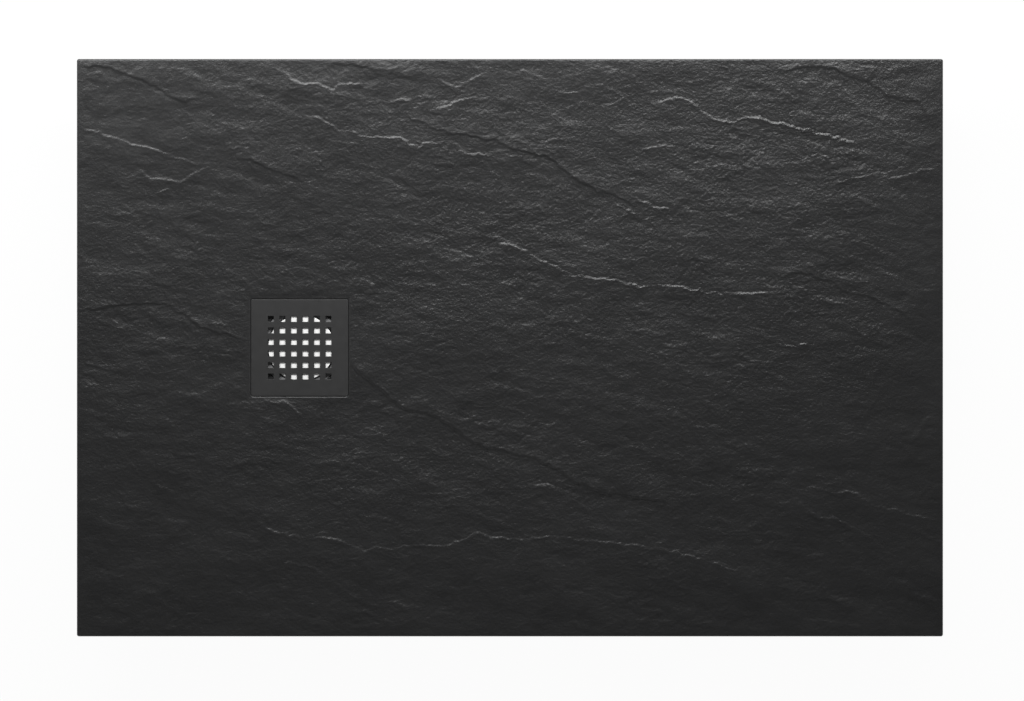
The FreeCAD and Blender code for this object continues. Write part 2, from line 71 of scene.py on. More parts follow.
nodes = frame["nodes"]
MM, MICRON = 0.001, 1e-6
print("pieces in the frame:", len(nodes), "box:", np.round(cad_bounds, 4).tolist())

# %% [markdown]
# ## Sizes
#
# New pieces could be given sizes of their own, but then they would drift away from the
# solids as soon as one of these changed. So everything here is placed from the frame.
# The skin's box gives the tray's outline and its rim. The cover's box gives the middle
# of the recess, because the cover lies in it with an even gap all round. The boxes of
# the ring and its gaskets give the seats round the waste hole. Only sizes that no box
# can tell, such as that gap, are written again. Two places less than a micron apart
# count as one.

# %% Sizes read from the frame
skin_high = np.array(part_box("gelcoat_skin")[1])
cover_low, cover_high = (np.array(c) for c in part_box("cover_plate"))
ring_low, ring_high = (np.array(c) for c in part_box("clamp_ring"))

HALF_X, HALF_Y, RIM_Z = skin_high
COVER_MIDDLE = (cover_low + cover_high) / 2
COVER_HALF = (cover_high[0] - cover_low[0]) / 2
DRAIN_SHIFT = (ring_low + ring_high)[0] / 2 - COVER_MIDDLE[0]
COVER_GAP = 1.0 * MM
COVER_DROP = 0.2 * MM
FLOOR_Z = cover_high[2] + COVER_DROP
RECESS_HALF = COVER_HALF + COVER_GAP
RIM_LAND = 5.0 * MM
print("recess middle", np.round(COVER_MIDDLE, 4).tolist(), "floor at", round(FLOOR_Z, 4))

# %% [markdown]
# ## Camera
#
# The photograph looks straight down. Its frame is 1024 by 701 pixels, and the tray is
# 866.6 pixels long for 1200 mm, so one pixel is about 1.385 mm. A camera close by would
# show the slab's sides, and the photograph shows none, so this one stands 3 m up with a
# long lens. The tray's middle lies a little left of and above the picture's middle, so
# the camera stands that much to the right and below, and no shift is needed. A helper
# puts the camera in the scene, and later the pieces, the floor and the lamp.

# %% Camera
PICTURE_WIDTH = 1024
PIXELS_PER_METRE = 866.6 / 1.2
PICTURE_MIDDLE = np.array([512.0, 350.5])
TRAY_MIDDLE_PIXEL = np.array([509.94, 347.7])
CAMERA_HEIGHT, CAMERA_REACH = 3.0, 100.0
SENSOR = 36.0


def placed(name, data):
    """A new object in the scene that holds this data."""
    made = bpy.data.objects.new(name, data)
    bpy.context.scene.collection.objects.link(made)
    return made


camera_data = bpy.data.cameras.new("camera")
camera_data.sensor_width = SENSOR
camera_data.lens = SENSOR * PIXELS_PER_METRE * CAMERA_HEIGHT / PICTURE_WIDTH
camera_data.clip_end = CAMERA_REACH
offset = (PICTURE_MIDDLE - TRAY_MIDDLE_PIXEL) / PIXELS_PER_METRE
camera = placed("camera", camera_data)
bpy.context.scene.camera = camera
camera.location = (offset[0], -offset[1], RIM_Z + CAMERA_HEIGHT)
print("lens", round(camera_data.lens, 2), "mm")

# %% [markdown]
# The same scale, read the other way, turns a point of the picture into a place on the
# tray. The ledges further down are written in pixels for that reason: each
# can be checked against the photograph by eye.


# %% Picture points to metres
def from_pixels(points):
    """Picture points as metres on the tray: the step from the tray's middle over the scale."""
    away = (np.array(points, dtype=float) - TRAY_MIDDLE_PIXEL) / PIXELS_PER_METRE
    return away * (1.0, -1.0)


print("one pixel is", round(1000 / PIXELS_PER_METRE, 3), "mm")

# %% [markdown]
# ## Mesh helpers
#
# A surface can be built face by face, but a tray's worth of slate has over 400,000 of
# them. It is quicker to work the surface out as whole arrays of numbers and to put the
# arrays in a mesh with one call. A grid of points only needs its corners joined four by
# four, so one function makes the faces of every grid in this lesson.


# %% Faces of a grid
def grid_faces(rows, columns, wrap=False):
    """Quads between neighbours of a grid of points: corner k, the next column, the next row."""
    index = np.arange(rows * columns).reshape(rows, columns)
    if wrap:
        index = np.hstack([index, index[:, :1]])
    quads = [index[:-1, :-1], index[:-1, 1:], index[1:, 1:], index[1:, :-1]]
    return np.stack([q.ravel() for q in quads], axis=1)


print("a grid of 3 by 4 points has", len(grid_faces(3, 4)), "faces")

# %% [markdown]
# The second helper puts points and faces in a mesh. The object stays at the origin and
# the place is in the mesh, as it is in the solids, so a pattern in object coordinates
# has the same size and place on all of them. Each piece also rides on a body here, so
# that it moves with the right joint.


# %% A piece from arrays
def make_piece(name, points, faces, body, material):
    """A smooth mesh object from arrays: points (n, 3) in metres, faces (m, 4) of point numbers."""
    points = np.asarray(points, dtype=np.float32).reshape(-1, 3)
    faces = np.asarray(faces, dtype=np.int32)
    mesh = bpy.data.meshes.new(name)
    mesh.vertices.add(len(points))
    mesh.vertices.foreach_set("co", points.ravel())
    mesh.loops.add(faces.size)
    mesh.loops.foreach_set("vertex_index", faces.ravel())
    mesh.polygons.add(len(faces))
    mesh.polygons.foreach_set("loop_start", np.arange(0, faces.size, 4, dtype=np.int32))
    mesh.update(calc_edges=True)
    mesh.validate()
    mesh.shade_smooth()
    mesh.materials.append(material)
    piece = placed(name, mesh)
    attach(piece, body)
    print(name, "has", len(points), "points and", len(faces), "faces")
    return piece


# %% [markdown]
# ## The relief of split slate
#
# Slate splits along its layers. What shows is a stack of very thin flakes: long shallow
# swells, ledges where a flake broke off, and a fine grain that runs one way. A noise
# texture in the material could fake some of it, but then the edges would not catch the
# light, and the mesh by itself would be bare. So the relief is real height.
#
# Each layer of it is a field of heights over the tray, made from random numbers that
# are smoothed more along the grain than across it. The smoothing is done on the
# spectrum, where a smooth pattern is one that keeps only its slow waves.

# %% Random fields with a grain
FIELD_CELL = 1.0 * MM
FIELD_MARGIN = 20.0 * MM
FIELD_SIZE = tuple(int(2 * (half + FIELD_MARGIN) / FIELD_CELL) for half in (HALF_X, HALF_Y))


def grained_field(long, wide, tilt, seed, sharpness=2.0):
    """A random field with mean 0 and spread 1 on a 1 mm grid.

    Each wave of white noise is weighted by exp(-(a^2 + b^2)^(sharpness / 2)), where a and
    b are its wave numbers along and across the grain times long and wide in metres.
    """
    noise = np.random.default_rng(seed).standard_normal(FIELD_SIZE)
    kx = np.fft.fftfreq(FIELD_SIZE[0], FIELD_CELL)[:, None]
    ky = np.fft.rfftfreq(FIELD_SIZE[1], FIELD_CELL)[None, :]
    turn = np.radians(tilt)
    along = (kx * np.cos(turn) + ky * np.sin(turn)) * long
    across = (ky * np.cos(turn) - kx * np.sin(turn)) * wide
    weight = np.exp(-(along**2 + across**2) ** (sharpness / 2))
    weight[0, 0] = 0.0
    field = np.fft.irfft2(np.fft.rfft2(noise) * weight, FIELD_SIZE)
    return field / field.std()


print("each field has", FIELD_SIZE[0], "by", FIELD_SIZE[1], "heights")

# %% [markdown]
# The mesh's points don't lie on the field's grid, so a field is read between its
# points. A field can also be cut into flat treads with short risers, which is how the
# flakes of slate look: level, then a small step.


# %% Reading a field
def sample(field, x, y):
    """The field's height at any point: the four grid heights round it, blended by nearness."""
    u = np.clip((x + HALF_X + FIELD_MARGIN) / FIELD_CELL, 0, FIELD_SIZE[0] - 2)
    v = np.clip((y + HALF_Y + FIELD_MARGIN) / FIELD_CELL, 0, FIELD_SIZE[1] - 2)
    i, j = u.astype(int), v.astype(int)
    s, t = u - i, v - j
    near = field[i, j] * (1 - t) + field[i, j + 1] * t
    far = field[i + 1, j] * (1 - t) + field[i + 1, j + 1] * t
    return near * (1 - s) + far * s


def terraces(field, steps, riser):
    """The field cut into flat treads: whole part plus a smooth ramp over the last riser."""
    scaled = field * steps
    tread = np.floor(scaled)
    ramp = np.clip((scaled - tread - (1 - riser)) / riser, 0, 1)
    return (tread + ramp * ramp * (3 - 2 * ramp)) / steps


print("a slope in treads:", terraces(np.linspace(0, 1, 6), 2, 0.5))

# %% [markdown]
# ## The large ledges
#
# The large ledges give this tray its face, and no random field would put them in the
# right place. So they are drawn with a few points each. In the picture the
# light falls from the top. A ledge that drops towards the light shines as a bright line,
# and one that drops away from it is a dark line. Each has its drop in millimetres, its
# reach in millimetres, which is how far behind the edge the flake goes on before it has
# sunk back to the floor, and its path in picture points.

# %% Ledges drawn from the photograph
BRIGHT, DARK = 1, -1
LEDGES = [
    # upper right
    (BRIGHT, 0.65, 26, [
        (646, 103), (661, 101), (673, 97), (682, 97), (689, 100), (702, 110), (712, 118), (724, 120),
        (735, 121), (745, 117), (759, 117), (772, 122)]),
    (BRIGHT, 1.00, 24, [
        (745, 117), (759, 117), (772, 122), (786, 123), (803, 130), (811, 130), (816, 134), (827, 134),
        (834, 138), (839, 137), (846, 141), (859, 144)]),
    (BRIGHT, 0.65, 9, [(833, 153), (845, 152), (860, 149)]),
    (BRIGHT, 0.60, 9, [(822, 153), (831, 161), (837, 169)]),
    (BRIGHT, 0.70, 18, [(833, 182), (854, 178), (871, 175)]),
    (BRIGHT, 0.42, 14, [(876, 172), (889, 178), (903, 175), (922, 170), (938, 170)]),
    (DARK, 0.55, 30, [
        (781, 72), (809, 66), (835, 68), (843, 74), (868, 82), (889, 97), (903, 101), (918, 101), (925, 112),
        (934, 133)]),
    (DARK, 0.35, 18, [(838, 97), (852, 105), (862, 117)]),
    # upper left
    (BRIGHT, 0.52, 34, [(76, 127), (100, 132), (129, 143), (146, 146), (166, 154), (186, 160), (203, 167)]),
    (BRIGHT, 0.50, 16, [(221, 169), (201, 169), (180, 182), (158, 177), (150, 178), (137, 168)]),
    (BRIGHT, 0.45, 10, [(156, 193), (169, 187)]),
    (DARK, 0.50, 30, [(78, 68), (96, 66), (113, 69), (143, 81), (158, 88), (170, 97), (180, 101), (201, 99)]),
    (DARK, 0.45, 22, [(238, 158), (250, 159), (262, 165), (278, 173), (292, 176), (304, 182)]),
    # upper middle
    (BRIGHT, 0.55, 22, [
        (275, 67), (300, 84), (317, 83), (332, 89), (340, 83), (359, 84), (366, 88), (378, 90)]),
    (BRIGHT, 0.65, 24, [
        (302, 117), (319, 117), (339, 130), (354, 132), (370, 137), (400, 137), (411, 145), (419, 147),
        (424, 143), (430, 141), (440, 144)]),
    (BRIGHT, 0.50, 12, [(458, 150), (469, 153), (478, 153), (490, 156)]),
    (BRIGHT, 0.50, 10, [(389, 102), (400, 99), (416, 102)]),
    (BRIGHT, 0.55, 14, [(432, 109), (451, 105), (458, 101), (471, 97)]),
    (BRIGHT, 0.50, 14, [(437, 78), (449, 85), (456, 87), (470, 80), (478, 75), (493, 71)]),
    (BRIGHT, 0.45, 12, [(518, 70), (528, 72), (538, 76), (549, 80)]),
    (BRIGHT, 0.65, 12, [(556, 91), (569, 93), (583, 91)]),
    (BRIGHT, 0.45, 9, [(602, 105), (615, 104), (623, 98), (631, 98)]),
    (BRIGHT, 0.68, 14, [(640, 149), (660, 145), (670, 146), (679, 144)]),
    (DARK, 0.40, 14, [(330, 63), (346, 66), (362, 66), (372, 69), (379, 77)]),
    (DARK, 0.55, 34, [
        (404, 112), (409, 119), (421, 121), (430, 127), (451, 133), (492, 139), (507, 147), (535, 154),
        (547, 156), (558, 165), (572, 177), (597, 191), (615, 195), (637, 208)]),
    # middle
    (BRIGHT, 0.75, 10, [(615, 202), (625, 208), (635, 213), (642, 221)]),
    (BRIGHT, 0.68, 10, [(636, 196), (647, 203), (656, 207), (673, 209)]),
    (BRIGHT, 0.30, 14, [(387, 288), (410, 303)]),
    (BRIGHT, 0.70, 28, [
        (487, 244), (503, 243), (520, 247), (532, 255), (547, 263), (562, 270), (573, 275), (588, 276),
        (603, 278), (620, 280), (630, 285)]),
    (BRIGHT, 0.70, 24, [
        (620, 282), (640, 286), (678, 286), (689, 290), (699, 289), (706, 293), (720, 293), (742, 292),
        (751, 293), (763, 292), (790, 292)]),
    (BRIGHT, 0.35, 8, [(676, 286), (683, 289), (690, 290), (700, 289), (708, 293)]),
    (BRIGHT, 0.60, 9, [(807, 262), (815, 267), (825, 276)]),
    (BRIGHT, 0.55, 8, [(798, 286), (809, 291)]),
    (BRIGHT, 0.50, 9, [(822, 292), (830, 301), (846, 304)]),
    (BRIGHT, 0.80, 14, [(775, 343), (783, 345), (796, 346), (803, 344), (814, 347)]),
    (DARK, 0.55, 30, [
        (785, 276), (797, 273), (811, 275), (821, 280), (832, 282), (841, 290), (850, 294), (873, 297),
        (913, 320)]),
    # round the drain
    (DARK, 0.60, 34, [(78, 311), (120, 305), (153, 303), (173, 308), (200, 327), (227, 335), (252, 343)]),
    (DARK, 0.35, 22, [(78, 363), (105, 370), (133, 376)]),
    (DARK, 0.35, 12, [(262, 400), (280, 406)]),
    (BRIGHT, 0.55, 12, [(275, 397), (284, 399), (289, 405), (302, 416)]),
    (DARK, 0.85, 40, [
        (340, 352), (356, 370), (367, 380), (379, 388), (391, 400), (405, 410), (422, 413), (436, 418),
        (450, 426), (473, 443), (485, 447), (534, 459), (546, 464), (558, 470), (570, 480), (600, 493),
        (633, 497), (668, 503)]),
    # bottom
    (BRIGHT, 0.52, 28, [
        (255, 517), (266, 527), (274, 533), (285, 533), (301, 538), (310, 536), (338, 540), (366, 551),
        (375, 547), (389, 549), (417, 545), (444, 546), (461, 540), (479, 532), (490, 537), (520, 539),
        (549, 536), (620, 543), (667, 550), (707, 560), (741, 573)]),
    (BRIGHT, 0.40, 20, [(287, 562), (314, 567), (336, 583), (350, 594), (361, 601), (369, 603), (385, 609)]),
    (BRIGHT, 0.55, 24, [
        (790, 474), (808, 487), (823, 488), (833, 493), (845, 490), (857, 493), (872, 504), (899, 511),
        (916, 516), (940, 521)]),
    (BRIGHT, 0.38, 18, [
        (795, 495), (806, 508), (823, 518), (833, 517), (848, 524), (872, 538), (887, 553), (900, 557)]),
    (BRIGHT, 0.45, 10, [(760, 534), (771, 531), (791, 537)]),
    (BRIGHT, 0.40, 8, [(776, 504), (790, 501)]),
]
print("ledges:", len(LEDGES), "drawn up to", max(drop for _, drop, _, _ in LEDGES), "mm deep")

# %% [markdown]
# A bright ledge's face should be about as steep as the one that throws the lamp's light
# up to the camera, or it stays dull. That is a rise of a little over one in two. A dark
# one is steeper, so that it turns away from the lamp. The drops were judged and
# came out too low, so each kind has a gain. Behind its edge the flake thins out, so its
# height dies away with the distance. Feet and cloths rub the tallest bright edges
# smooth, and they shine more than the rest. So the same function also says how calm the
# rock is near the edge and how worn the edge is.

# %% The height of one ledge
LEDGE_SLOPE = {BRIGHT: 0.56, DARK: 0.95}
LEDGE_GAIN = {BRIGHT: 1.35, DARK: 1.9}
LEDGE_THIN = 1.4 * MM
CALM_REACH = 5.0 * MM
POLISH_REACH = 1.0 * MM
WORN_FROM, WORN_FULL = 0.5, 0.9
TAPER, TAPER_SHARE, TAPER_POWER = 22.0 * MM, 0.25, 0.7
END_SHARE = 0.6


def ledge_relief(x, y, path, sign, drop, reach, strength):
    """Height that one ledge adds at each point, how near its edge is and how worn it is.

    With d the distance to the nearest run of the path, counted positive on the side that
    the ledge drops to, the height is full * exp(-|d| / reach) behind the edge and 0
    before it, with a straight face of width full / slope, or LEDGE_THIN if that is more.
    It fades to 0 at both ends of the path over TAPER, or over a quarter of it if it is
    short, and farther off than reach it dies away faster. Nearness and wear are
    exp(-(d / size)^2), each with its own size.
    """
    path = from_pixels(path)
    starts, runs = path[:-1], np.diff(path, axis=0)
    lengths = np.hypot(runs[:, 0], runs[:, 1])
    before = np.concatenate([[0], np.cumsum(lengths)[:-1]])
    best = np.full(x.shape, np.inf)
    side = np.zeros(x.shape)
    travelled = np.zeros(x.shape)
    for start, run, length, done in zip(starts, runs, lengths, before):
        px, py = x - start[0], y - start[1]
        share = np.clip((px * run[0] + py * run[1]) / length**2, 0, 1)
        gap = np.hypot(px - share * run[0], py - share * run[1])
        nearer = gap < best
        best = np.where(nearer, gap, best)
        side = np.where(nearer, np.sign(run[0] * py - run[1] * px) * np.sign(run[0]), side)
        travelled = np.where(nearer, done + share * length, travelled)
    total = before[-1] + lengths[-1]
    to_end = np.minimum(travelled, total - travelled)
    fade = np.clip(to_end / min(TAPER, total * TAPER_SHARE), 0, 1) ** TAPER_POWER
    d = best * side * sign
    full = drop * LEDGE_GAIN[sign]
    width = max(full * MM / LEDGE_SLOPE[sign], LEDGE_THIN)
    behind = np.exp(-np.abs(d) / reach) * np.clip(0.5 - d / width, 0, 1)
    beyond = np.exp(-np.maximum(best - reach, 0) / (END_SHARE * reach))
    near = fade * np.exp(-(best / CALM_REACH) ** 2)
    rubbed = np.clip((drop - WORN_FROM) / (WORN_FULL - WORN_FROM), 0, 1) * (sign == BRIGHT)
    worn = rubbed * fade * np.exp(-(best / (width + POLISH_REACH)) ** 2)
    return full * strength * fade * behind * beyond, near, worn


print("a bright 1 mm ledge has a face", round(LEDGE_GAIN[BRIGHT] / LEDGE_SLOPE[BRIGHT], 2), "mm wide")

# %% [markdown]
# ## Where the rock is rougher
#
# The photograph's slate isn't equally rough all over: the upper right and the middle are
# lively, and the right-hand end is calm. A few soft round patches say by how much, each
# with its middle and its radii in picture points and its gain. The mesh's small layers
# and the material's finest bump both follow them.

# %% Rough patches
ROUGH_PATCHES = [
    ((480, 120), (130, 60), 0.2), ((770, 130), (150, 90), 0.7), ((520, 270), (150, 60), 0.8),
    ((760, 330), (150, 80), 0.7), ((130, 340), (90, 80), 0.2), ((520, 470), (170, 70), 0.3),
    ((740, 520), (150, 70), 0.2), ((330, 470), (110, 60), 0.2), ((930, 350), (30, 260), -0.4),
    ((130, 120), (110, 80), -0.5), ((470, 80), (200, 30), -0.2),
]
CALMEST = 0.3
ROUGHEST_BUMP = 1.4


def roughness_of_rock(x, y):
    """1 for plain rock, more in the rough patches: 1 plus each gain * exp(-(distance / radii)^2)."""
    total = np.ones(np.shape(x))
    for middle, radii, gain in ROUGH_PATCHES:
        mx, my = from_pixels([middle])[0]
        rx, ry = np.array(radii) / PIXELS_PER_METRE
        total += gain * np.exp(-((x - mx) / rx) ** 2 - ((y - my) / ry) ** 2)
    return np.maximum(total, CALMEST)


print("rough patches:", len(ROUGH_PATCHES))

# %% [markdown]
# ## The layers together
#
# The swells are about as long as a hand and the flakes as a finger. Chips, crests and
# grain get smaller down to a few millimetres, near the least that this mesh can hold.
# The other fields bend and vary these, so that no layer looks like a stamp: jitter and
# jag make the ledges' edges ragged, uneven varies their height, warp bends the flakes,
# and pockets leave some rock smooth. Each takes its own seed, so the same tray comes out
# every time.

# %% The fields
swells = grained_field(0.16, 0.08, -14, seed=3)
flakes = grained_field(0.055, 0.026, -12, seed=11)
chips = grained_field(0.024, 0.013, -8, seed=23)
crests = grained_field(0.0100, 0.0078, -4, seed=37, sharpness=1.5)
grain = grained_field(0.0052, 0.0046, -2, seed=67, sharpness=1.5)
jitter = grained_field(0.012, 0.008, 0, seed=41)
jag = grained_field(0.005, 0.005, 0, seed=43)
warp = grained_field(0.03, 0.02, 0, seed=47)
uneven = grained_field(0.035, 0.035, 0, seed=53)
pockets = grained_field(0.075, 0.040, -10, seed=59)
print("tallest swell", round(float(swells.max()), 2), "times the usual one")

# %% [markdown]
# Crests are folded: their height is minus the size of a random field, which gives sharp
# ridges with round hollows between, as broken rock has. Flakes and chips are cut in
# treads, each with its steps and the riser's share of one. Near a large ledge the other
# layers calm down. The deepest hollows are eased with a soft knee, so that none goes
# through the skin. Heights here are in millimetres.

# %% Add the relief up
SWELL, FLAKE, CHIP, CREST, GRAIN = 0.30, 0.22, 0.11, 0.066, 0.030
FLAKE_TREADS, CHIP_TREADS = (1.6, 0.25), (1.2, 0.5)
JITTER, JAG, WARP, WANDER_GAIN = 0.9 * MM, 0.22 * MM, 5.0 * MM, 1.5
LEDGE_UNEVEN, LEDGE_LIMITS = 0.24, (0.6, 1.5)
POCKETS, POCKET_LIMITS = 0.35, (0.4, 1.9)
CALM_PATCH, CALM_FLAKES, PLAIN_CHIPS = 0.7, 0.5, 0.5
SLATE_LIFT, SLATE_KNEE, SLATE_ROOM = 0.35, -0.35, 0.45


def all_ledges(x, y, wander):
    """The heights of all ledges added up, and the greatest calm and wear at each point."""
    height, calm, worn = (np.zeros(x.shape) for _ in range(3))
    strength = np.clip(1 + LEDGE_UNEVEN * sample(uneven, x, y), *LEDGE_LIMITS)
    for sign, drop, reach, path in LEDGES:
        raised, near, rubbed = ledge_relief(x, y + wander, path, sign, drop, reach * MM, strength)
        height += raised
        calm = np.maximum(calm, near)
        worn = np.maximum(worn, rubbed)
    return height, calm, worn


def relief(x, y):
    """Height of the slate over the plain floor in metres, and how worn it is from 0 to 1."""
    wander = sample(jitter, x, y) * JITTER + sample(jag, x, y) * JAG
    height, calm, worn = all_ledges(x, y, wander)
    patch = roughness_of_rock(x, y) * np.clip(1 + POCKETS * sample(pockets, x, y), *POCKET_LIMITS)
    patch *= 1 - CALM_PATCH * calm
    bent_x, bent_y = x + sample(warp, x, y) * WARP, y + wander * WANDER_GAIN
    height += SWELL * sample(swells, x, y)
    height += FLAKE * terraces(sample(flakes, bent_x, bent_y), *FLAKE_TREADS) * (1 - CALM_FLAKES * calm)
    shown = PLAIN_CHIPS + (1 - PLAIN_CHIPS) * patch
    height += CHIP * terraces(sample(chips, bent_x, bent_y), *CHIP_TREADS) * shown
    height -= CREST * np.abs(sample(crests, bent_x, bent_y)) * patch
    height += GRAIN * sample(grain, bent_x, bent_y) * patch
    height += SLATE_LIFT
    low = height < SLATE_KNEE
    height[low] = SLATE_KNEE + SLATE_ROOM * np.tanh((height[low] - SLATE_KNEE) / SLATE_ROOM)
    return height * MM, worn


print("no hollow is deeper than", SLATE_ROOM - SLATE_KNEE, "mm")

# %% [markdown]
# ## The floor under the relief
#
# The tray's floor falls to the drain on four planes, which meet in straight valleys.
# The relief fades out round the recess, so that the cover's gap is even, and sinks to a
# third at the rim, so that a screen or a seal sits tight there. The sides are smooth.

# %% The plain floor and where the relief fades
MOUTH_SOFT, MOUTH_DROP = 1.1 * MM, 0.5 * MM
LINING_PROUD = 0.35 * MM
LINING_HALF = RECESS_HALF - LINING_PROUD
MOUTH_HALF = LINING_HALF + MOUTH_SOFT
RIM_FADE, MOUTH_FADE, RIM_SHARE = 14.0 * MM, 9.0 * MM, 0.35


def plain_floor(x, y):
    """The floor with no relief: the highest of four planes that fall to the recess's edges.

    Each plane climbs evenly from FLOOR_Z at its edge of the recess to RIM_Z at the rim.
    """
    away_x = x - COVER_MIDDLE[0]
    run_x = HALF_X - RIM_LAND - RECESS_HALF - np.sign(away_x) * COVER_MIDDLE[0]
    run_y = HALF_Y - RIM_LAND - RECESS_HALF
    rise = np.maximum((np.abs(away_x) - RECESS_HALF) / run_x, (np.abs(y) - RECESS_HALF) / run_y)
    return FLOOR_Z + (RIM_Z - FLOOR_Z) * np.clip(rise, 0, 1)


def fade_near_edges(x, y):
    """1 over the open floor, falling to 0 at the recess's edge and to RIM_SHARE at the rim."""
    to_rim = np.minimum(HALF_X - np.abs(x), HALF_Y - np.abs(y))
    to_recess = np.maximum(np.abs(x - COVER_MIDDLE[0]), np.abs(y)) - MOUTH_HALF
    rim = RIM_SHARE + (1 - RIM_SHARE) * np.clip(to_rim / RIM_FADE, 0, 1)
    recess = np.clip(to_recess / MOUTH_FADE, 0, 1)
    return rim * recess * recess * (3 - 2 * recess)


print("fall of the floor:", round((RIM_Z - FLOOR_Z) / MM, 2), "mm")

# %% [markdown]
# ## One sheet over the whole slab
#
# The skin is a single sheet, like a cloth laid over a block: flat on top, round at the
# edge and down the sides. A plain grid can do this. Its outer rows and columns are the
# edge's profile. At a corner two such strips meet, and the profile is swept round the
# corner instead. The grain runs along the tray, so the grid is coarser along it than
# across it, and so the ledges stay crisp with few faces.

# %% The sheet's grid
CELL_X, CELL_Y = 1.8 * MM, 1.25 * MM
CORNER = 3.0 * MM
EDGE = 2.0 * MM
EDGE_STEPS, SIDE_STEPS = 4, 3
UNDER_LIP = 1.0 * MM
BAND_CUTS = [-0.390, COVER_MIDDLE[0] + MOUTH_HALF, 0.000, 0.205, 0.405]


def edge_profile():
    """(outward steps, drops) from the flat top over a quarter round, down the side and under."""
    angle = np.linspace(0, np.pi / 2, EDGE_STEPS + 1)
    down = np.linspace(EDGE, RIM_Z, SIDE_STEPS + 1)[1:]
    out = np.concatenate([[0.0], CORNER - EDGE + EDGE * np.sin(angle), np.full(SIDE_STEPS, CORNER)])
    drop = np.concatenate([[0.0], EDGE * (1 - np.cos(angle)), down])
    return np.append(out, CORNER - UNDER_LIP), np.append(drop, RIM_Z)


def lines(stops, cell):
    """Grid lines along one side: each stop has one, and between stops the steps are even."""
    spans = [np.linspace(a, b, max(1, int(round((b - a) / cell))) + 1)[1:]
             for a, b in zip(stops, stops[1:])]
    return np.concatenate([[stops[0]]] + spans)


profile_out, profile_drop = edge_profile()
flat_x = lines(sorted([CORNER - HALF_X, COVER_MIDDLE[0] - MOUTH_HALF, HALF_X - CORNER] + BAND_CUTS), CELL_X)
flat_y = lines([CORNER - HALF_Y, -MOUTH_HALF, MOUTH_HALF, HALF_Y - CORNER], CELL_Y)
print("flat top", len(flat_x), "by", len(flat_y), "lines, edge", len(profile_out), "rows")

# %% [markdown]
# The tray and the drain cover are both such sheets, so one helper lays the extra rows
# round a flat grid. It gives each crossing its row of the profile and the direction in
# which that row steps outwards: straight out along a side, and fanned out at a corner.


# %% A sheet with an edge
def with_edge(flat, rows):
    """Grid lines with rows more at each end, and how many rows each lies beyond the flat."""
    beyond = np.concatenate([np.arange(-rows, 0), np.zeros(len(flat)), np.arange(1, rows + 1)])
    return np.concatenate([np.full(rows, flat[0]), flat, np.full(rows, flat[-1])]), beyond


def edged_sheet(flat_x, flat_y, out):
    """x and y of a sheet's points, and each point's row of the edge profile.

    The row is the larger of the two counts beyond the flat. Its outward step turns from
    one axis to the other by the angle of the two counts.
    """
    rows = len(out) - 1
    (line_x, beyond_x), (line_y, beyond_y) = with_edge(flat_x, rows), with_edge(flat_y, rows)
    bx, by = np.meshgrid(beyond_x, beyond_y, indexing="ij")
    x, y = np.meshgrid(line_x, line_y, indexing="ij")
    row = np.maximum(np.abs(bx), np.abs(by)).astype(int)
    size = np.maximum(np.hypot(bx, by), 1.0)
    return x + out[row] * bx / size, y + out[row] * by / size, row


def slate_sheet():
    """The tray's sheet: floor plus relief, less the edge's drop, and how worn each point is."""
    x, y, row = edged_sheet(flat_x, flat_y, profile_out)
    height, worn = relief(x, y)
    height *= fade_near_edges(x, y) * np.clip(1 - profile_drop[row] / EDGE, 0, 1)
    return np.stack([x, y, plain_floor(x, y) + height - profile_drop[row]], axis=-1), worn


sheet_points, sheet_wear = slate_sheet()
print("sheet from", sheet_points.min(axis=(0, 1)).round(4), "to", sheet_points.max(axis=(0, 1)).round(4))

# %% [markdown]
# ## Materials
#
# Each finish is a small network of nodes on object coordinates, so that it has a real
# size in millimetres and stays put on the piece. Wired by hand these networks are long,
# so one helper adds a node and fills its sockets in one line.


# %% Node helper
def node(tree, kind, inputs=None, **settings):
    """A node with its settings and sockets filled: a socket as value is linked, the rest is set."""
    made = tree.nodes.new(kind)
    for key, value in settings.items():
        setattr(made, key, value)
    for key, value in (inputs or {}).items():
        if isinstance(value, bpy.types.NodeSocket):
            tree.links.new(value, made.inputs[key])
        else:
            made.inputs[key].default_value = value
    return made


def math(tree, operation, first, second):
    """The result of one operation on two values."""
    return node(tree, "ShaderNodeMath", {0: first, 1: second}, operation=operation).outputs[0]


# %% [markdown]
# Nearly every surface varies in the same way: its tone and its gloss wander a little,
# and it has a fine grain. So the other helpers make a noise whose blotches have a stated
# size, draw a value out between two limits, mix two tones and stack bumps of a stated
# depth.


# %% Blotches, tones and bumps
def blotches(tree, size, stretch=(1, 1, 1), detail=2.0, roughness=0.5):
    """Noise from 0 to 1 whose blotches are about size metres across, times stretch on each axis."""
    place = node(tree, "ShaderNodeTexCoord").outputs["Object"]
    scale = [1.0 / (size * s) for s in stretch]
    mapped = node(tree, "ShaderNodeMapping", {"Vector": place, "Scale": scale})
    return node(tree, "ShaderNodeTexNoise", {
        "Vector": mapped.outputs["Vector"], "Scale": 1.0, "Detail": detail,
        "Roughness": roughness}).outputs["Fac"]


def spread(tree, value, low, high, start=0.3, end=0.7):
    """The value from start to end drawn out to low to high, and held there outside."""
    return node(tree, "ShaderNodeMapRange", {
        "Value": value, "From Min": start, "From Max": end, "To Min": low,
        "To Max": high}).outputs["Result"]


def tones(tree, value, dark, light):
    """A colour between dark and light by the value."""
    mixed = node(tree, "ShaderNodeMix", data_type="RGBA")
    colours = [i for i in mixed.inputs if i.type == "RGBA"]
    colours[0].default_value = (*dark, 1)
    colours[1].default_value = (*light, 1)
    tree.links.new(value, mixed.inputs["Factor"])
    return [o for o in mixed.outputs if o.type == "RGBA"][0]


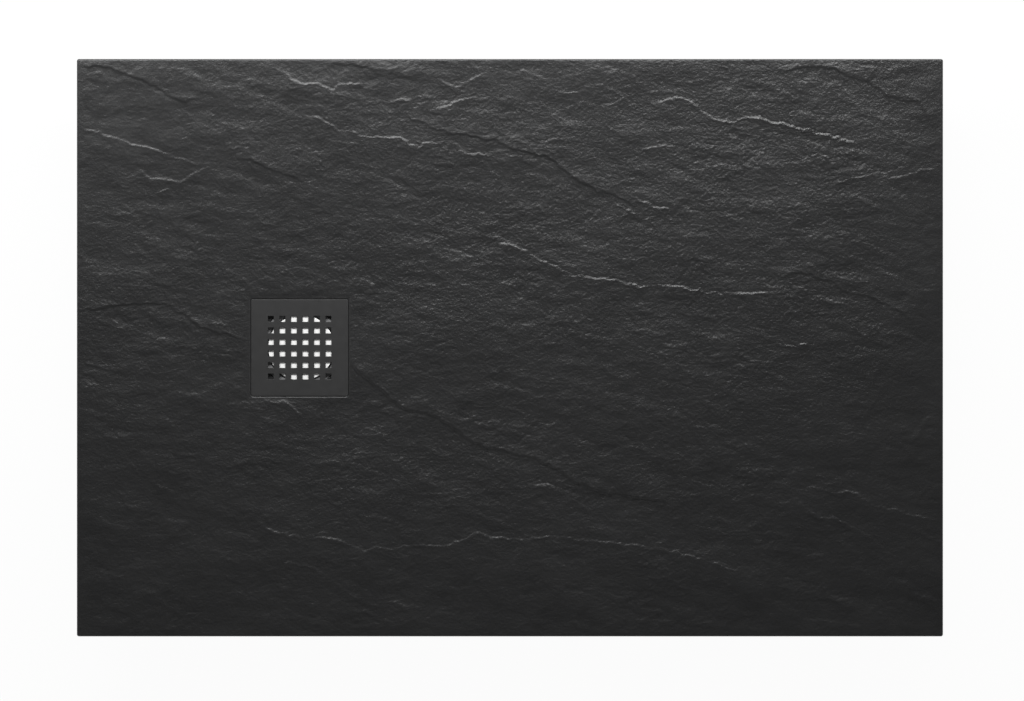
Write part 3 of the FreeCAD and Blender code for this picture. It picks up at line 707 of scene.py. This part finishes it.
def bump(tree, height, depth):
    """A normal that is tipped by a height socket, whose whole range is depth metres."""
    made = node(tree, "ShaderNodeBump", {"Height": height, "Distance": depth, "Strength": 1.0})
    return made.outputs["Normal"]


def surface(name, metallic=0.0):
    """A new material, its tree and its shader."""
    made = bpy.data.materials.new(name)
    made.use_nodes = True
    shader = made.node_tree.nodes["Principled BSDF"]
    shader.inputs["Metallic"].default_value = metallic
    return made, made.node_tree, shader


def fill(tree, shader, **sockets):
    """Link or set the shader's sockets, named with _ for a space."""
    for key, value in sockets.items():
        socket = shader.inputs[key.replace("_", " ")]
        if isinstance(value, bpy.types.NodeSocket):
            tree.links.new(value, socket)
        else:
            socket.default_value = value


# %% [markdown]
# ## Slate gelcoat
#
# The skin is a resin with dark pigment, satin and nearly black. Its colour is the same
# all the way through, so the relief shows by light and shade alone, and its tone only
# wanders a little. The finest streaks are smaller than a cell of the mesh, so they are a
# bump, and they follow the rough patches through an attribute of the mesh. A second
# attribute says where the edges are rubbed smooth.

# %% Slate gelcoat
SLATE_DARK, SLATE_LIGHT = (0.0135, 0.0136, 0.0139), (0.0185, 0.0186, 0.0189)
SLATE_ROUGHNESS, WORN_ROUGHNESS = (0.35, 0.42), 0.20
STREAK_DEPTH = 0.8 * MM

slate, tree, shader = surface("slate_gelcoat")
tint = blotches(tree, 45 * MM, (2.0, 1, 1), 4.0, 0.6)
sheen = blotches(tree, 12 * MM, (1.5, 1, 1), 3.0, 0.6)
streaks = blotches(tree, 4 * MM, (1.1, 1, 1), 3.0, 0.6)
rough_here = node(tree, "ShaderNodeAttribute", attribute_name="rock_roughness").outputs["Fac"]
worn_here = node(tree, "ShaderNodeAttribute", attribute_name="ledge_wear").outputs["Fac"]
gloss = node(tree, "ShaderNodeMix", {"Factor": worn_here, "A": spread(tree, sheen, *SLATE_ROUGHNESS),
                                     "B": WORN_ROUGHNESS}, data_type="FLOAT").outputs["Result"]
fill(tree, shader, Specular_IOR_Level=0.45, Roughness=gloss,
     Base_Color=tones(tree, spread(tree, tint, 0, 1), SLATE_DARK, SLATE_LIGHT),
     Normal=bump(tree, streaks, math(tree, "MULTIPLY", rough_here, STREAK_DEPTH)))
print(slate.name, "has", len(tree.nodes), "nodes")

# %% [markdown]
# ## Powder coat, plastics, rubber and brass
#
# These finishes differ in tone, gloss and grain, but not in kind. Powder coat has a fine
# orange peel, moulded plastic a faint spark-eroded grain, rubber is dull and the screw
# inserts are turned brass. So one function makes them all from a table: two tones, the
# range of the roughness, the size and the depth of the grain in millimetres, and 1 for a
# bare metal. The record calls the cover's powder coat cover_paint.

# %% Powder coat, plastics, rubber and brass
TONE_BLOTCH, GLOSS_BLOTCH = 20 * MM, 8 * MM
MOULDED = {
    "cover_powder_coat": ((0.0150, 0.0150, 0.0152), (0.0175, 0.0175, 0.0177), (0.52, 0.60), 0.9, 0.06),
    "rubber": ((0.014, 0.014, 0.014), (0.022, 0.022, 0.021), (0.6, 0.8), 0.6, 0.06),
    "white_plastic": ((0.90, 0.90, 0.89), (0.93, 0.93, 0.92), (0.25, 0.4), 4.0, 0.04),
    "dark_plastic": ((0.200, 0.200, 0.204), (0.250, 0.250, 0.255), (0.35, 0.5), 0.9, 0.05),
    "trap_plastic": ((0.70, 0.70, 0.69), (0.78, 0.78, 0.77), (0.3, 0.45), 3.0, 0.06),
    "nut_plastic": ((0.20, 0.205, 0.21), (0.27, 0.275, 0.28), (0.4, 0.55), 0.9, 0.06),
    "brass": ((0.55, 0.38, 0.14), (0.68, 0.50, 0.22), (0.25, 0.45), 1.2, 0.03, 1.0),
}


def moulded(name, dark, light, roughness, grain, depth, metallic=0.0):
    """A finish with slow changes of tone, finer changes of gloss and a fine even grain."""
    made, tree, shader = surface(name, metallic)
    fill(tree, shader,
         Base_Color=tones(tree, spread(tree, blotches(tree, TONE_BLOTCH, detail=3.0), 0, 1), dark, light),
         Roughness=spread(tree, blotches(tree, GLOSS_BLOTCH), *roughness),
         Normal=bump(tree, blotches(tree, grain * MM), depth * MM))
    return made


finishes = {name: moulded(name, *numbers) for name, numbers in MOULDED.items()}
finishes["cover_paint"] = finishes.pop("cover_powder_coat")
finishes["slate_gelcoat"] = slate
print("finishes so far:", sorted(finishes))

# %% [markdown]
# ## Steel and cast stone
#
# The screws are drawn steel, whose scratches run one way, so their noise is stretched
# along that way. The casting under the skin shows only from below: stone grains of a few
# tones in resin. A Voronoi texture gives each cell one random colour, which suits grains.

# %% Steel and cast stone
GRAINS_PER_METRE = 420.0

steel, tree, shader = surface("steel", 1.0)
scratches = blotches(tree, 0.4 * MM, (14, 1, 1))
fill(tree, shader,
     Base_Color=tones(tree, spread(tree, blotches(tree, 10 * MM), 0, 1), (0.48, 0.48, 0.49),
                      (0.60, 0.60, 0.61)),
     Roughness=spread(tree, scratches, 0.22, 0.40),
     Normal=bump(tree, scratches, 0.02 * MM))
finishes["steel"] = steel

stone, tree, shader = surface("cast_stone")
place = node(tree, "ShaderNodeTexCoord").outputs["Object"]
cells = node(tree, "ShaderNodeTexVoronoi", {"Vector": place, "Scale": GRAINS_PER_METRE})
tone = node(tree, "ShaderNodeSeparateColor", {"Color": cells.outputs["Color"]}).outputs["Red"]
fill(tree, shader,
     Base_Color=tones(tree, tone, (0.11, 0.11, 0.112), (0.20, 0.20, 0.195)),
     Roughness=spread(tree, blotches(tree, 6 * MM), 0.7, 0.9),
     Normal=bump(tree, blotches(tree, 1.5 * MM, detail=4.0), 0.25 * MM))
finishes["cast_stone"] = stone
print("stone grains about", round(1000 / GRAINS_PER_METRE, 1), "mm across")

# %% [markdown]
# ## The solids take their finish
#
# The trap, the ring, the screws and the lift-out pieces keep their own meshes, which
# have their true shape already. The record names a finish for each of them, so a loop
# over the nodes is enough.

# %% Give every carried-over piece its finish
slots = {p["node"]: p["material_slot"] for p in frame["record"]["subparts"]}
for name, piece in nodes.items():
    finish = finishes[slots[name]]
    if not piece.material_slots:
        piece.data.materials.append(finish)
    for place_in_list in piece.material_slots:
        place_in_list.material = finish
print("finished nodes:", len(nodes))

# %% [markdown]
# ## The sheet in bands
#
# The sheet replaces the solid skin, which has no relief. It is cut in six bands along
# the tray, only to keep each mesh small. Neighbours share their border's points, and
# with cells this small the shading runs on, so no seam shows. The square of the recess
# is left open, and the lining closes it.

# %% Bands of the sheet
band_edges = [-np.inf] + BAND_CUTS + [np.inf]
sheet_x = with_edge(flat_x, len(profile_out) - 1)[0]
for number, (start, end) in enumerate(zip(band_edges, band_edges[1:]), start=1):
    inside = np.where((sheet_x >= start - MICRON) & (sheet_x <= end + MICRON))[0]
    rows = slice(inside[0], inside[-1] + 1)
    band = sheet_points[rows]
    faces = grid_faces(*band.shape[:2])
    middle = band.reshape(-1, 3)[faces].mean(axis=1)
    in_mouth = np.maximum(np.abs(middle[:, 0] - COVER_MIDDLE[0]), np.abs(middle[:, 1])) < MOUTH_HALF
    piece = make_piece("slate_skin_%d" % number, band, faces[~in_mouth], "tray", slate)
    rough = np.minimum(roughness_of_rock(band[..., 0], band[..., 1]), ROUGHEST_BUMP)
    for title, values in (("rock_roughness", rough), ("ledge_wear", sheet_wear[rows])):
        attribute = piece.data.attributes.new(title, "FLOAT", "POINT")
        attribute.data.foreach_set("value", values.astype(np.float32).ravel())
    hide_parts("gelcoat_skin")

# %% [markdown]
# ## The lining of the drain recess
#
# The skin also lines the recess: over a soft edge, down the wall, across the ledge that
# the cover stands on, into the ring's seat and down the waste hole. The recess is square
# and the hole is round. A row of loops does both. The first loops are squares with round
# corners, the later ones circles about the drain's own axis, and each loop has as many
# points as the open border of the sheet, so the lining joins it point by point. The wall
# stands a third of a millimetre proud of the solid's, because a skin that lay on the
# cast block exactly would flicker against it.

# %% Loops of the lining
RECESS_CORNER = 4.0 * MM
LINING_SOFT = 0.4 * MM
LEDGE_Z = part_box("cover_pads")[0][2]
SEAT_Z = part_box("ring_gasket")[0][2]
POCKET_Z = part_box("trap_gasket")[1][2]
RING_GAP = 0.7 * MM
SEAT_RADIUS = (ring_high[0] - ring_low[0]) / 2 + RING_GAP
WASTE_RADIUS = 45.0 * MM
TURNED_OUT = 1.0 * MM
SOFT_LOOPS = 4


def rounded(points, half, corner):
    """Points of a square of that half side, with its corners rounded.

    Each point is drawn in to the smaller square where the corners' middles lie, and set
    down again at the corner's radius from there.
    """
    scaled = points * half / np.abs(points).max(axis=1, keepdims=True)
    inner = np.clip(scaled, corner - half, half - corner)
    away = scaled - inner
    return inner + corner * away / np.linalg.norm(away, axis=1, keepdims=True)


def mouth_loop():
    """The sheet's border points round the recess, anticlockwise from the +X -Y corner."""
    xs = flat_x[np.abs(flat_x - COVER_MIDDLE[0]) < MOUTH_HALF + MICRON] - COVER_MIDDLE[0]
    ys = flat_y[np.abs(flat_y) < MOUTH_HALF + MICRON]
    sides = ((MOUTH_HALF, ys), (xs[::-1], MOUTH_HALF), (-MOUTH_HALF, ys[::-1]), (xs, -MOUTH_HALF))
    return np.concatenate([np.stack(np.broadcast_arrays(*side), axis=1)[:-1] for side in sides])


print("seat radius", round(SEAT_RADIUS / MM, 2), "mm, ledge at", round(LEDGE_Z / MM, 2), "mm")

# %% [markdown]
# Each soft edge is two loops about half a millimetre apart. Smooth shading then turns
# the light over that short step and leaves the long faces flat.


# %% The lining
def drain_lining():
    """Loops from the floor's edge down to the waste hole, as (x, y, height) rows of points.

    The first rows follow a quarter round over the softened edge and down the recess's
    wall. On the circles each point lies at the angle at which its square's point is seen
    from the drain's axis.
    """
    mouth = mouth_loop()
    loops = [(mouth, plain_floor(mouth[:, 0] + COVER_MIDDLE[0], mouth[:, 1]))]
    for turn in np.linspace(0, np.pi / 2, SOFT_LOOPS):
        half = MOUTH_HALF - MOUTH_SOFT * np.sin(turn)
        loops.append((rounded(mouth, half, RECESS_CORNER), FLOOR_Z - MOUTH_DROP * (1 - np.cos(turn))))
    loops.append((rounded(mouth, LINING_HALF, RECESS_CORNER), LEDGE_Z + LINING_SOFT))
    loops.append((rounded(mouth, LINING_HALF - LINING_SOFT, RECESS_CORNER - LINING_SOFT), LEDGE_Z))
    shift = np.array([DRAIN_SHIFT, 0.0])
    circle = (mouth - shift) / np.linalg.norm(mouth - shift, axis=1, keepdims=True)
    for radius, z in ((SEAT_RADIUS + 2 * LINING_SOFT, LEDGE_Z), (SEAT_RADIUS + LINING_SOFT, LEDGE_Z),
                      (SEAT_RADIUS, LEDGE_Z - LINING_SOFT), (SEAT_RADIUS, SEAT_Z + LINING_SOFT),
                      (SEAT_RADIUS - LINING_SOFT, SEAT_Z), (WASTE_RADIUS + LINING_SOFT, SEAT_Z),
                      (WASTE_RADIUS, SEAT_Z - LINING_SOFT), (WASTE_RADIUS, POCKET_Z),
                      (WASTE_RADIUS + TURNED_OUT, POCKET_Z)):
        loops.append((circle * radius + shift, z))
    points = np.stack([np.column_stack([xy, np.broadcast_to(z, len(xy))]) for xy, z in loops])
    points[..., 0] += COVER_MIDDLE[0]
    return points


lining_points = drain_lining()
lining_faces = grid_faces(*lining_points.shape[:2], wrap=True)[:, ::-1]
lining = make_piece("drain_lining", lining_points, lining_faces, "tray", slate)
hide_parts("gelcoat_skin")

# %% [markdown]
# ## The drain cover
#
# The cover is pressed from 1.5 mm steel sheet with its edge turned down, and its 36
# square holes are punched. A press leaves round edges, and punching rolls the rim of
# each hole in a little. Those soft edges catch the light, and the solid has them sharp.
# The flat is a grid again, with a line on each side of every hole and two more just
# outside it, so that the rolled rim stays narrow. A line near the flat's edge does the
# same for the pressed edge.

# %% Lines of the cover
COVER_TOP, COVER_LOW = cover_high[2], cover_low[2]
SHEET = 1.5 * MM
COVER_CORNER = 3.0 * MM
PRESSED, PRESSED_ROWS, PRESSED_LINE = 0.4 * MM, 5, 0.8 * MM
BEVEL = 0.2 * MM
SHARP_FROM = 50.0
HOLE_HALF, HOLE_PITCH, HOLES = 4.0 * MM, 16.0 * MM, 6
HOLE_SOFT = 0.25 * MM
HOLE_STEPS = (0.0, 1.0, 2.4)
SAME_DIGITS = 7

hole_middles = (np.arange(HOLES) - (HOLES - 1) / 2) * HOLE_PITCH
cover_limit = COVER_HALF - COVER_CORNER
cover_lines = np.unique(np.round(np.concatenate(
    [[-cover_limit, PRESSED_LINE - cover_limit, cover_limit - PRESSED_LINE, cover_limit]]
    + [hole_middles + side * (HOLE_HALF + step * HOLE_SOFT) for side in (-1, 1) for step in HOLE_STEPS]),
    SAME_DIGITS))
print("the cover has", HOLES**2, "holes and", len(cover_lines), "lines each way")

# %% [markdown]
# The same helper as for the tray lays the turned-down edge round the flat. The upper
# face carries the whole rim, outside and in, and the lower face is a second sheet. The
# four walls of each hole join the two.


# %% The faces of the cover
def to_hole(x, y):
    """Distance to the nearest hole's middle along x or along y, whichever is more."""
    return np.maximum(*(np.abs(v[..., None] - hole_middles).min(axis=-1) for v in (x, y)))


def holed_sheet(out, drop, soften):
    """A square sheet with rows of an edge profile round it, and its square holes left out.

    A point's height is the cover's top less the drop of its row, less soften where it
    lies on the rim of a hole.
    """
    x, y, row = edged_sheet(cover_lines, cover_lines, out)
    z = COVER_TOP - drop[row] - soften * (to_hole(x, y) < HOLE_HALF + MICRON)
    points = np.stack([x, y, z], axis=-1).reshape(-1, 3)
    faces = grid_faces(*row.shape)
    middle = points[faces].mean(axis=1)
    return points, faces[to_hole(middle[:, 0], middle[:, 1]) > HOLE_HALF]


def hole_walls(top, bottom):
    """The four walls of each hole, from height top to height bottom."""
    corners = np.array([(1, -1), (1, 1), (-1, 1), (-1, -1)]) * HOLE_HALF
    middles = np.stack(np.meshgrid(hole_middles, hole_middles, indexing="ij"), axis=-1).reshape(-1, 2)
    ring = middles[:, None, :] + corners
    rows = [np.dstack([ring, np.full(ring.shape[:2], z)]) for z in (top, bottom)]
    points = np.stack(rows, axis=1).reshape(-1, 3)
    one = grid_faces(2, 4, wrap=True)[:, ::-1]
    first = 2 * len(corners) * np.arange(len(middles))
    return points, (one + first[:, None, None]).reshape(-1, 4)


def joined(*parts):
    """Several (points, faces) as one, with points that lie on each other made one."""
    shifts = np.cumsum([0] + [len(p) for p, _ in parts[:-1]])
    points = np.concatenate([p for p, _ in parts])
    faces = np.concatenate([f + shift for (_, f), shift in zip(parts, shifts)])
    single, number = np.unique(np.round(points, SAME_DIGITS), axis=0, return_inverse=True)
    return single, number.ravel()[faces]


# %% [markdown]
# The rim's profile starts on the flat, goes over the pressed round and down, turns under
# with a small bevel on each side, and climbs back to the lower face.

# %% The drain cover
turn = np.linspace(0, np.pi / 2, PRESSED_ROWS)
rim_low = COVER_TOP - COVER_LOW
rim_in = COVER_CORNER - SHEET
rim_out = np.concatenate([[0], COVER_CORNER - PRESSED + PRESSED * np.sin(turn),
                          [COVER_CORNER, COVER_CORNER - BEVEL, rim_in + BEVEL, rim_in, rim_in]])
rim_drop = np.concatenate([[0], PRESSED * (1 - np.cos(turn)),
                           [rim_low - BEVEL, rim_low, rim_low, rim_low - BEVEL, SHEET]])
upper = holed_sheet(rim_out, rim_drop, HOLE_SOFT)
low_points, low_faces = holed_sheet(np.array([0.0, rim_in]), np.array([SHEET, SHEET]), 0.0)
walls = hole_walls(COVER_TOP - HOLE_SOFT, COVER_TOP - SHEET)
cover_points, cover_faces = joined(upper, (low_points, low_faces[:, ::-1]), walls)
cover_points = cover_points + (COVER_MIDDLE[0], COVER_MIDDLE[1], 0)
cover = make_piece("drain_cover", cover_points, cover_faces, "cover", finishes["cover_paint"])
cover.data.set_sharp_from_angle(angle=np.radians(SHARP_FROM))
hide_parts("cover_plate")

# %% [markdown]
# ## Floor
#
# The photograph's ground is pure white. More light would wash the object out, so the
# floor's own colour and the rays do it: what the camera, a gloss or a clear piece sees
# of the floor is nearly all plain white, and the rest is a pale matt floor that keeps
# the object's shadow. The floor lies just under the trap.

# %% Floor
FLOOR_SHARE, FLOOR_TONE = 0.96, 0.8
FLOOR_HALF = 30.0
FLOOR_BELOW = 1.0 * MM

floor_z = cad_bounds[0][2] - FLOOR_BELOW
floor_mesh = bpy.data.meshes.new("floor")
corners = [(sx * FLOOR_HALF, sy * FLOOR_HALF, floor_z) for sx, sy in ((-1, -1), (1, -1), (1, 1), (-1, 1))]
floor_mesh.from_pydata(corners, [], [(0, 1, 2, 3)])
floor = placed("floor", floor_mesh)
pale, tree, shader = surface("pale_floor")
shader.inputs["Base Color"].default_value = (FLOOR_TONE,) * 3 + (1,)
rays = node(tree, "ShaderNodeLightPath").outputs
seen = math(tree, "MAXIMUM", rays["Is Camera Ray"], rays["Is Glossy Ray"])
seen = math(tree, "MAXIMUM", seen, rays["Is Transmission Ray"])
white = node(tree, "ShaderNodeEmission", {"Color": (1, 1, 1, 1), "Strength": 1.0}).outputs[0]
mixed = node(tree, "ShaderNodeMixShader", {0: math(tree, "MULTIPLY", seen, FLOOR_SHARE),
                                           1: shader.outputs[0], 2: white})
tree.links.new(mixed.outputs[0], tree.nodes["Material Output"].inputs[0])
floor_mesh.materials.append(pale)
print("floor at", round(floor_z, 4), "m")

# %% [markdown]
# ## Sky
#
# The picture's slab is darkest where it would mirror what is straight above it. So the
# world is white near the horizon and below, where it is the backdrop of the low views,
# and dim overhead. It is white by direction alone, for every ray alike.

# %% World
SKY_LOW, SKY_HIGH, ZENITH = 0.25, 0.60, 0.10

world = bpy.data.worlds.new("studio")
bpy.context.scene.world = world
world.use_nodes = True
tree = world.node_tree
facing = node(tree, "ShaderNodeTexCoord").outputs["Generated"]
up = node(tree, "ShaderNodeSeparateXYZ", {0: facing}).outputs["Z"]
level = node(tree, "ShaderNodeMapRange", {"Value": up, "From Min": SKY_LOW, "From Max": SKY_HIGH,
                                          "To Min": 1.0, "To Max": ZENITH}, interpolation_type="SMOOTHSTEP")
background = tree.nodes["Background"]
background.inputs["Color"].default_value = (1, 1, 1, 1)
tree.links.new(level.outputs["Result"], background.inputs["Strength"])
bpy.context.scene.view_settings.view_transform = "Standard"
print("sky from 1.0 down to", ZENITH)

# %% [markdown]
# ## Key lamp
#
# One wide soft lamp stands behind the top edge of the picture, low enough to graze the
# slate. Every ledge then has a lit side and a shaded side, and the slab grows darker
# away from it, as it does in the photograph. A high lamp would show the slate flat. One
# lamp is enough, because the white horizon fills the shaded sides.

# %% Key lamp
KEY_PLACE, KEY_AIM = np.array([-0.12, 1.15, 0.9]), np.array([-0.03, 0.1, 0.0])
KEY_WIDTH, KEY_HEIGHT, KEY_POWER = 2.4, 0.4, 43.0

key_data = bpy.data.lights.new("key", "AREA")
key_data.shape = "RECTANGLE"
key_data.size, key_data.size_y = KEY_WIDTH, KEY_HEIGHT
key_data.energy = KEY_POWER
key = placed("key", key_data)
away = KEY_AIM - KEY_PLACE
key.location = KEY_PLACE
key.rotation_euler = (np.arctan2(np.hypot(away[0], away[1]), -away[2]), 0, np.arctan2(-away[0], away[1]))
print("key lamp", round(float(np.linalg.norm(away)), 2), "m from its aim")
